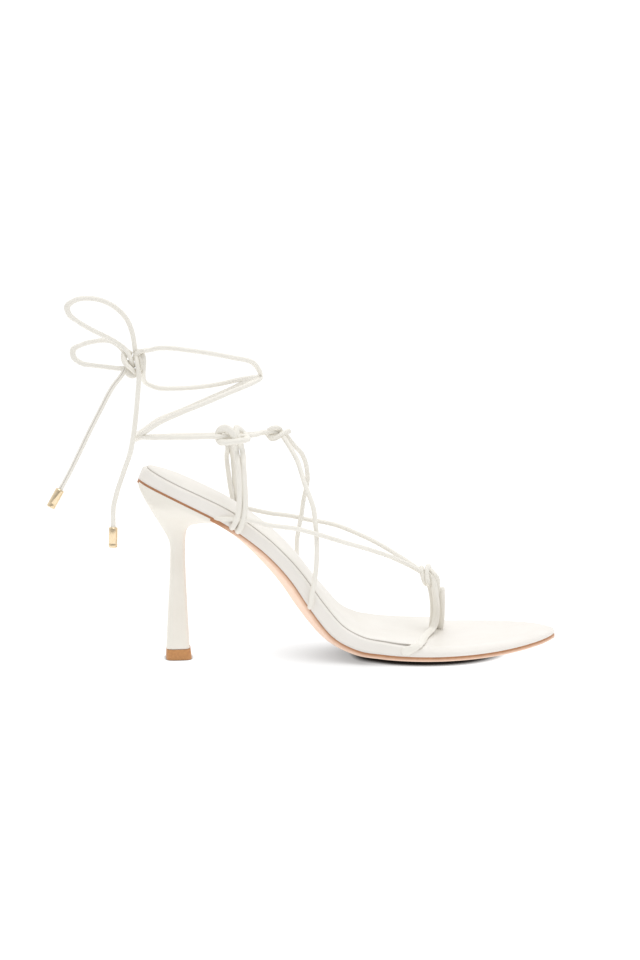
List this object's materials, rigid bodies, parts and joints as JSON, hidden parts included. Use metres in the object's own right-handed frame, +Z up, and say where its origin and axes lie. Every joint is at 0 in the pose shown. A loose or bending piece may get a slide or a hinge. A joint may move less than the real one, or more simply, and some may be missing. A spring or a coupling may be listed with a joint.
{
  "type": "strappy heel",
  "caption": "High-heeled thong sandal for the right foot, with thin leather cord straps knotted over the instep and an ankle tie fastened in a bow behind.",
  "frame": {"origin": "on the floor, under the middle of the heel tip", "axes": "+X to the toe, +Y to the inner side of the foot, +Z up"},
  "size_m": [0.2679, 0.0823, 0.1909],
  "materials": {
    "leather": "smooth off-white leather, soft sheen",
    "cord_leather": "rolled off-white leather cord, soft sheen",
    "insole_leather": "smooth padded off-white lining leather, matt",
    "sole_leather": "tan leather with a darker burnished edge",
    "heel_tip": "brown hard rubber, satin",
    "gold": "polished gold tone"
  },
  "bodies": {
    "root": {"footbed": "leather", "outsole": "sole_leather", "insole": "insole_leather", "heel": "leather", "heel_tip": "heel_tip", "upper_straps": "cord_leather", "ankle_tie": "cord_leather", "bow_knot": "cord_leather", "bow_loop_upper": "cord_leather", "bow_loop_lower": "cord_leather", "tie_end_long": "cord_leather", "tie_end_short": "cord_leather", "cord_tip_long": "gold", "cord_tip_short": "gold"}
  },
  "joints": []
}
